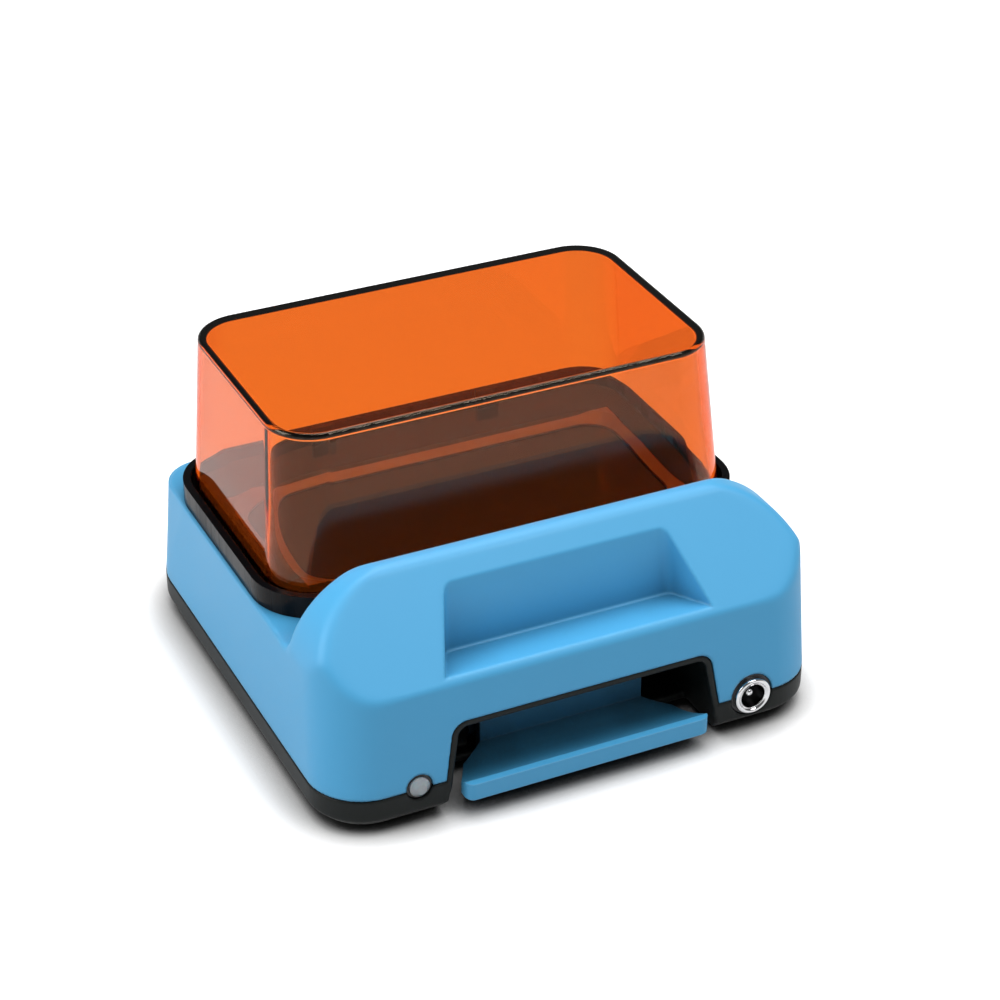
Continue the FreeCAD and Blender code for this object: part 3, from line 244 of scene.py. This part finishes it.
def amber(name):
    """Clear amber acrylic with thick walls, tinted by the way that light goes through it."""
    made, tree, out = new_material(name)
    haze = noise(tree, 60.0, 2.0)
    shader = add(tree, "ShaderNodeBsdfPrincipled", {"Roughness": spread(tree, haze, 0.0, 0.012)})
    shader.inputs["Base Color"].default_value = (1.0, 1.0, 1.0, 1.0)
    shader.inputs["Transmission Weight"].default_value = 1.0
    shader.inputs["IOR"].default_value = 1.49
    shader.inputs["Specular Tint"].default_value = (1.0, 0.85, 0.70, 1.0)
    inside = add(tree, "ShaderNodeVolumeAbsorption", Color=(0.992, 0.61, 0.0, 1.0), Density=900.0)
    tree.links.new(shader.outputs["BSDF"], out.inputs["Surface"])
    tree.links.new(inside.outputs["Volume"], out.inputs["Volume"])
    return made


def viewing_glass(name):
    """Dark filter glass with a hard gloss."""
    made, tree, out = new_material(name)
    cloud = noise(tree, 40.0, 3.0)
    shader = add(tree, "ShaderNodeBsdfPrincipled",
                 {"Base Color": tint(tree, cloud, (0.004, 0.003, 0.003), (0.007, 0.005, 0.005)),
                  "Roughness": spread(tree, cloud, 0.03, 0.05)})
    shader.inputs["Specular IOR Level"].default_value = 0.10
    tree.links.new(shader.outputs["BSDF"], out.inputs["Surface"])
    return made


def lens(name):
    """Milky lens of the status light."""
    made, tree, out = new_material(name)
    cloud = noise(tree, 700.0, 3.0)
    shader = add(tree, "ShaderNodeBsdfPrincipled",
                 {"Base Color": tint(tree, cloud, (0.30, 0.35, 0.38), (0.42, 0.47, 0.50)),
                  "Roughness": spread(tree, cloud, 0.12, 0.2)})
    shader.inputs["Subsurface Weight"].default_value = 0.3
    shader.inputs["Subsurface Scale"].default_value = 1.0 * MM
    shader.inputs["Coat Weight"].default_value = 0.5
    tree.links.new(shader.outputs["BSDF"], out.inputs["Surface"])
    return made


def circuit(name):
    """Green circuit board with copper runs under its mask."""
    made, tree, out = new_material(name)
    place = add(tree, "ShaderNodeTexCoord").outputs["Object"]
    runs = add(tree, "ShaderNodeTexBrick", {"Vector": place}, Scale=90.0)
    runs.inputs["Mortar Size"].default_value = 0.06
    shader = add(tree, "ShaderNodeBsdfPrincipled",
                 {"Base Color": tint(tree, runs.outputs["Fac"], (0.015, 0.10, 0.04), (0.03, 0.20, 0.08)),
                  "Roughness": spread(tree, noise(tree, 300.0), 0.3, 0.42)})
    tree.links.new(shader.outputs["BSDF"], out.inputs["Surface"])
    return made


def finishes():
    """One material for each slot of the record."""
    white, opal = (0.72, 0.72, 0.70), (0.66, 0.70, 0.74)
    return {
        # shade, reach and behind set the painted shade in the recesses of the housing and the slot of the
        # lever.
        "housing": plastic("housing_blue", BLUE, BLUE_DEEP, 0.42, edge=0.6,
                           shade=0.75, reach=14.0, wide=2.0),
        "lever": plastic("lever_blue", BLUE, BLUE_DEEP, 0.40, edge=0.35,
                         shade=1.45, reach=24.0, behind=-65.0),
        "base": plastic("base_black", SOFT_BLACK, BLACK, 0.45, grain=1800.0, depth=0.012, edge=0.5,
                        gloss=0.2, edge_wear_and_highlight=0.02),
        "frame": gloss_black("frame_gloss_black"),
        "glass": viewing_glass("filter_glass_dark"),
        "gasket": plastic("seal_rubber", (0.02, 0.02, 0.02), (0.012, 0.012, 0.012), 0.7, grain=900.0),
        "cover": amber("cover_amber"),
        "steel": metal("plated_steel", (0.56, 0.56, 0.57), 0.28, (1.0, 12.0, 1.0)),
        "black_parts": plastic("black_parts", (0.012, 0.012, 0.013), (0.008, 0.008, 0.009), 0.38),
        "white_parts": plastic("white_parts", white, tuple(0.93 * c for c in white), 0.5),
        "diffuser": plastic("opal_sheet", opal, tuple(0.95 * c for c in opal), 0.6, grain=1200.0),
        "board": circuit("circuit_green"),
        "led": plastic("led_bodies", (0.80, 0.76, 0.42), (0.74, 0.70, 0.36), 0.3),
        "aluminium": metal("rolled_aluminium", (0.78, 0.78, 0.79), 0.34, (14.0, 1.0, 1.0)),
        "chrome": metal("bright_chrome", (0.82, 0.82, 0.83), 0.08, (1.0, 1.0, 1.0)),
        "status_lens": lens("status_lens_milky"),
        "rubber": plastic("foot_rubber", (0.016, 0.016, 0.016), (0.010, 0.010, 0.010), 0.75, grain=1200.0),
        "cable": plastic("cable_sheath", (0.02, 0.02, 0.02), (0.014, 0.014, 0.014), 0.5),
    }


FINISH = finishes()
for node_name, node in NODES.items():
    node.data.materials.clear()
    node.data.materials.append(FINISH[SLOTS[node_name]])


# Mesh helpers
def mesh_piece(name, verts, faces, slot, body, *replaced):
    """A smooth mesh piece that rides on a body and stands for CAD nodes."""
    data = bpy.data.meshes.new(name)
    data.from_pydata([tuple(v) for v in verts], [], faces)
    data.validate()
    for face in data.polygons:
        face.use_smooth = True
    data.materials.append(FINISH[slot])
    made = bpy.data.objects.new(name, data)
    bpy.context.scene.collection.objects.link(made)
    even = made.modifiers.new("even_normals", "WEIGHTED_NORMAL")
    even.keep_sharp = True
    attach(made, body)
    if replaced:
        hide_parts(*replaced)
    return made


def ring_of(low, high, radius, steps, z):
    """Points round a rectangle with round corners, anticlockwise."""
    points = []
    for cx, cy, start in ((high.x - radius, high.y - radius, 0), (low.x + radius, high.y - radius, 90),
                          (low.x + radius, low.y + radius, 180), (high.x - radius, low.y + radius, 270)):
        for k in range(steps + 1):
            a = math.radians(start + 90.0 * k / steps)
            points.append(Vector((cx + radius * math.cos(a), cy + radius * math.sin(a), z)))
    return points


def skin(rings, verts, faces, flip=False):
    """Join rings of equal length by strips of faces and close the last with one face."""
    first = len(verts)
    count = len(rings[0])
    for ring in rings:
        verts.extend(ring)
    for row in range(len(rings) - 1):
        for k in range(count):
            a, b = first + row * count + k, first + row * count + (k + 1) % count
            quad = (a, b, b + count, a + count)
            faces.append(tuple(reversed(quad)) if flip else quad)
    last = [first + (len(rings) - 1) * count + k for k in range(count)]
    faces.append(tuple(reversed(last)) if flip else tuple(last))
    return first


# Mouldings with soft edges, each from an even copy of its solid
BODY_HALF = 65.0 * MM
BODY_REAR = 67.5 * MM
SPLIT = 10.0 * MM
RISE = 50.0 * MM
SIDE_LEAN = 1.7 * MM
REAR_LEAN = 26.8 * MM
REAR_CORNER = 19.5 * MM
CORNER_SPAN = 32.0 * MM
CORNER_LOW = 24.0 * MM
CORNER_DECK = 10.5 * MM
DECK = 38.8 * MM
BLEND_FROM, BLEND_TO = 4.0 * MM, 10.0 * MM
WELD = 0.002 * MM
EVEN_DEPTH = 8

# Ranges over which the extra rounding of the hood ends and of the foot sets in
HOOD_SIDE = (44.0 * MM, 54.0 * MM)
HOOD_RISE = (24.0 * MM, 31.0 * MM)
HOOD_BACK = (-38.0 * MM, -32.0 * MM)
FOOT_RISE = (5.0 * MM, 8.0 * MM)


def smooth_step(value, low, high):
    """Rises softly from 0 to 1 between two values."""
    share = min(1.0, max(0.0, (value - low) / (high - low)))
    return share * share * (3.0 - 2.0 * share)


def corner_reach(angle, radius):
    """Distance along a ray from inside a square corner of CORNER_SPAN to its rounded outline."""
    c, s = math.cos(angle), math.sin(angle)
    straight = CORNER_SPAN - radius
    if CORNER_SPAN * s <= straight * c:
        return CORNER_SPAN / c
    if CORNER_SPAN * c <= straight * s:
        return CORNER_SPAN / s
    along = straight * (c + s)
    return along + math.sqrt(along * along - 2.0 * straight * straight + radius * radius)


def shape_rear(co):
    """The rear corners as in the photograph: wide at the split line and tighter at the deck."""
    share = max(0.0, co.z - SPLIT) / RISE
    dx = abs(co.x) - (BODY_HALF - SIDE_LEAN * share - CORNER_SPAN)
    dy = co.y - (BODY_REAR - REAR_LEAN * share - CORNER_SPAN)
    if dx <= 0.0 or dy <= 0.0:
        return co
    angle = math.atan2(dy, dx)
    wanted = CORNER_LOW + (CORNER_DECK - CORNER_LOW) * min(1.0, max(0.0, (co.z - SPLIT) / (DECK - SPLIT)))
    old = corner_reach(angle, REAR_CORNER)
    move = corner_reach(angle, wanted) - old
    move *= 1.0 - smooth_step(old - math.hypot(dx, dy), BLEND_FROM, BLEND_TO)
    return co + Vector((math.copysign(math.cos(angle), co.x), math.sin(angle), 0.0)) * move


def even_copy(node_name):
    """A closed mesh of even faces round a CAD solid that keeps its edges."""
    whole = bmesh.new()
    whole.from_mesh(NODES[node_name].data)
    bmesh.ops.remove_doubles(whole, verts=whole.verts, dist=WELD)
    joined = bpy.data.meshes.new("spare")
    whole.to_mesh(joined)
    whole.free()
    spare = bpy.data.objects.new("spare", joined)
    bpy.context.scene.collection.objects.link(spare)
    even = spare.modifiers.new("even", "REMESH")
    even.mode = "SHARP"
    even.octree_depth = EVEN_DEPTH
    even.scale = 0.99
    even.use_remove_disconnected = False
    depsgraph = bpy.context.evaluated_depsgraph_get()
    data = bpy.data.meshes.new_from_object(spare.evaluated_get(depsgraph))
    bpy.data.objects.remove(spare)
    data.materials.clear()
    return data


def soft_piece(name, node_name, slot, body, passes, shape, places, rounds):
    """A moulding whose edges are softened everywhere, and more where places says so."""
    data = even_copy(node_name)
    for vert in data.vertices:
        vert.co = shape(vert.co)
    for face in data.polygons:
        face.use_smooth = True
    data.materials.append(FINISH[slot])
    made = bpy.data.objects.new(name, data)
    bpy.context.scene.collection.objects.link(made)
    group = made.vertex_groups.new(name="round")
    for vert in data.vertices:
        weight = places(vert.co)
        if weight > 0.0:
            group.add([vert.index], weight, "REPLACE")
    more = made.modifiers.new("rounder", "SMOOTH")
    more.vertex_group = "round"
    more.factor, more.iterations = 0.5, rounds
    soft = made.modifiers.new("soft", "SMOOTH")
    soft.factor, soft.iterations = 0.5, passes
    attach(made, body)
    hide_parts(node_name)
    return made


def hood_ends(co):
    """Where the hood turns down at its two ends."""
    out = smooth_step(abs(co.x), *HOOD_SIDE)
    high = smooth_step(co.z, *HOOD_RISE)
    return out * high * (1.0 - smooth_step(co.y, *HOOD_BACK))


def base_foot(co):
    """The lower outside edge of the base."""
    return 1.0 - smooth_step(co.z, *FOOT_RISE)


soft_piece("housing_shell", "upper_housing", "housing", "base", 2, shape_rear, hood_ends, 24)
soft_piece("base_tray", "lower_base", "base", "base", 1, shape_rear, base_foot, 8)


def lathe(name, node_name, slot, body, profile, steps=72):
    """A turned piece that faces the front, in place of a CAD node: radius and depth in mm."""
    low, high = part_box(node_name)
    cx, cz = (low.x + high.x) / 2, (low.z + high.z) / 2
    verts, faces = [], []
    for k in range(steps):
        a = 2 * math.pi * k / steps
        for radius, depth in profile:
            verts.append((cx + radius * MM * math.cos(a), low.y + depth * MM,
                          cz + radius * MM * math.sin(a)))
    rows = len(profile)
    for k in range(steps):
        here, after = k * rows, (k + 1) % steps * rows
        for i in range(rows):
            j = (i + 1) % rows
            faces.append((here + i, after + i, after + j, here + j))
    return mesh_piece(name, verts, faces, slot, body, node_name)


# Bore and lip of the socket ring, in millimetres
SOCKET_BORE = 3.2
SOCKET_LIP = 0.55


def jack_ring():
    """Chrome ring of the power socket: a round outer lip, a dished face and a bore."""
    low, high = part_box("dc_jack_ring")
    deep = (high.y - low.y) / MM
    outer, bore = (high.x - low.x) / 2 / MM, SOCKET_BORE
    lip = [(outer - SOCKET_LIP + SOCKET_LIP * math.cos(a), SOCKET_LIP - SOCKET_LIP * math.sin(a))
           for a in (math.radians(15 * k) for k in range(0, 11))]
    dish = [(outer - 1.25, 0.62), (outer - 1.45, 0.55),
            (bore + 0.2, 0.30), (bore + 0.08, 0.34), (bore, 0.5)]
    lathe("socket_ring", "dc_jack_ring", "chrome", "base", [(outer, deep)] + lip + dish + [(bore, deep)])


def jack_pin():
    """Centre pin of the socket with a round nose."""
    low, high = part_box("dc_jack_pin")
    radius, deep = (high.x - low.x) / 2 / MM, (high.y - low.y) / MM
    nose = [(radius * math.cos(a), radius * (1.0 - math.sin(a)))
            for a in (math.radians(11 * k) for k in range(0, 9))]
    lathe("socket_pin", "dc_jack_pin", "chrome", "base", [(0.05, deep), (radius, deep)] + nose)


# Amber cover with round top edges inside and out
COVER_WALL = 2.2 * MM
COVER_CORNER = 12.0 * MM
COVER_ROUND = 0.9 * MM
COVER_INNER_ROUND = 0.3 * MM
COVER_SIDE_LEAN = 3.2 * MM
COVER_FRONT_LEAN = 4.6 * MM
COVER_EDGE_STEPS = 6
COVER_CORNER_STEPS = 14


def cover_rings(inset, top, edge, low, high):
    """Rings up the leaning walls and over the round top edge."""
    rise = high.z - low.z
    rings = []
    levels = [(0.0, 0.0), (0.5, 0.0)]
    levels += [((top - edge - low.z) / rise, 0.0)]
    levels += [((top - edge + edge * math.sin(a) - low.z) / rise, edge * (1 - math.cos(a)))
               for a in (math.pi / 2 * k / COVER_EDGE_STEPS for k in range(1, COVER_EDGE_STEPS + 1))]
    for share, pull in levels:
        a = Vector((low.x + COVER_SIDE_LEAN * share + inset + pull,
                    low.y + COVER_FRONT_LEAN * share + inset + pull, 0))
        b = Vector((high.x - COVER_SIDE_LEAN * share - inset - pull, high.y - inset - pull, 0))
        rings.append(ring_of(a, b, COVER_CORNER - inset - pull, COVER_CORNER_STEPS, low.z + rise * share))
    return rings


def amber_cover():
    """The cover: an outer and an inner skin that meet at the open foot."""
    low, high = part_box("amber_cover")
    verts, faces = [], []
    outer = skin(cover_rings(0.0, high.z, COVER_ROUND, low, high), verts, faces)
    inside = cover_rings(COVER_WALL, high.z - COVER_WALL, COVER_INNER_ROUND, low, high)
    inner = skin(inside, verts, faces, True)
    count = len(inside[0])
    for k in range(count):
        nxt = (k + 1) % count
        faces.append((outer + k, inner + k, inner + nxt, outer + nxt))
    return mesh_piece("cover_shell", verts, faces, "cover", "cover", "amber_cover")


amber_cover()
jack_ring()
jack_pin()


# Floor, light and camera
def floor():
    """A pale floor, white to the eye by a glow for camera rays, with a painted contact shadow round the foot
    where occlusion darkens it and holds the glow back.
    """
    made, tree, out = new_material("pale_floor")
    path = add(tree, "ShaderNodeLightPath").outputs
    mirrored = add(tree, "ShaderNodeMath", {0: path["Is Glossy Ray"], 1: path["Is Transmission Ray"]},
                   operation="MAXIMUM").outputs[0]
    # Painted contact shadow: for camera rays, occlusion darkens the floor colour towards 0.03 and holds back
    # its white glow near the foot.
    near = add(tree, "ShaderNodeAmbientOcclusion", Distance=CONTACT_REACH, samples=16).outputs["AO"]
    clear = spread(tree, near, 0.0, 1.0, CONTACT_DARK, CONTACT_CLEAR)
    grain = noise(tree, 8.0)
    eye = tint(tree, clear, (0.03,) * 3, tint(tree, grain, (0.93,) * 3, (0.95,) * 3))
    colour = tint(tree, mirrored, (FLOOR_BOUNCE,) * 3, (FLOOR_SEEN,) * 3)
    colour = tint(tree, path["Is Camera Ray"], colour, eye)
    lift = add(tree, "ShaderNodeMath", {0: clear, 1: path["Is Camera Ray"]}, operation="MULTIPLY").outputs[0]
    glow = spread(tree, lift, 0.0, FLOOR_LIFT, 0.0, 1.0)
    matte = add(tree, "ShaderNodeBsdfDiffuse", {"Color": colour})
    glow = add(tree, "ShaderNodeEmission", {"Strength": glow})
    both = add(tree, "ShaderNodeAddShader", {0: matte.outputs[0], 1: glow.outputs[0]})
    tree.links.new(both.outputs[0], out.inputs["Surface"])
    data = bpy.data.meshes.new("floor")
    half = 4.0
    corners = [(-half, -half, 0), (half, -half, 0), (half, half, 0), (-half, half, 0)]
    data.from_pydata(corners, [], [(0, 1, 2, 3)])
    data.materials.append(made)
    plane = bpy.data.objects.new("floor", data)
    bpy.context.scene.collection.objects.link(plane)


def world():
    """Soft light from all round; brighter below the horizon in reflections, white to the eye."""
    made = bpy.data.worlds.new("studio")
    bpy.context.scene.world = made
    made.use_nodes = True
    tree = made.node_tree
    tree.nodes.clear()
    out = tree.nodes.new("ShaderNodeOutputWorld")
    path = add(tree, "ShaderNodeLightPath").outputs
    seen = add(tree, "ShaderNodeMath", {0: path["Is Camera Ray"], 1: path["Is Transmission Ray"]},
               operation="MAXIMUM")
    height = add(tree, "ShaderNodeSeparateXYZ", {0: add(tree, "ShaderNodeTexCoord").outputs["Generated"]})
    sky = spread(tree, height.outputs["Z"], GLOSS_LOW, GLOSS_HIGH, 0.0, 0.35)
    glossy = add(tree, "ShaderNodeBackground", {"Strength": sky})
    soft = add(tree, "ShaderNodeBackground",
               {"Strength": spread(tree, height.outputs["Z"], AMBIENT_LOW, AMBIENT_HIGH, 0.0, 1.0)})
    white = add(tree, "ShaderNodeBackground", Strength=1.0)
    for node in (glossy, soft, white):
        node.inputs["Color"].default_value = (1.0, 1.0, 1.0, 1.0)
    lit = add(tree, "ShaderNodeMixShader",
              {0: path["Is Glossy Ray"], 1: soft.outputs[0], 2: glossy.outputs[0]})
    shown = add(tree, "ShaderNodeMixShader", {0: seen.outputs[0], 1: lit.outputs[0], 2: white.outputs[0]})
    tree.links.new(shown.outputs[0], out.inputs["Surface"])


def softbox(name, place, wide, tall, power):
    """A flat lamp that faces the object."""
    data = bpy.data.lights.new(name, "AREA")
    data.shape = "RECTANGLE"
    data.size, data.size_y = wide, tall
    data.energy = power
    lamp = bpy.data.objects.new(name, data)
    lamp.location = place
    lamp.rotation_mode = "QUATERNION"
    lamp.rotation_quaternion = (-Vector(place)).to_track_quat("-Z", "Y")
    bpy.context.scene.collection.objects.link(lamp)


FLOOR_LIFT = 0.40
FLOOR_SEEN, FLOOR_BOUNCE = 0.84, 0.38
CONTACT_REACH = 16.0 * MM
CONTACT_DARK, CONTACT_CLEAR = 0.30, 0.88
AMBIENT_LOW, AMBIENT_HIGH = 0.25, 0.50
GLOSS_LOW, GLOSS_HIGH = 0.9, 0.12
floor()
world()
softbox("lamp_top", (0.25, 0.15, 1.3), 0.9, 0.9, 9.5)
softbox("lamp_left", (-1.1, 0.1, 0.75), 0.7, 0.7, 8.5)
softbox("lamp_strip", (0.45, -0.6, 0.95), 0.6, 0.25, 3.0)

camera_data = bpy.data.cameras.new("camera")
camera_data.lens = LENS
camera_data.sensor_width = SENSOR
camera_data.clip_start, camera_data.clip_end = 0.01, 20.0
camera = bpy.data.objects.new("camera", camera_data)
camera.location = CAMERA_PLACE
camera.rotation_mode = "QUATERNION"
aim = (CAMERA_TARGET - CAMERA_PLACE).to_track_quat("-Z", "Y")
camera.rotation_quaternion = aim @ Quaternion((0, 0, 1), CAMERA_ROLL)
bpy.context.scene.collection.objects.link(camera)
bpy.context.scene.camera = camera
bpy.context.scene.view_settings.view_transform = "Standard"
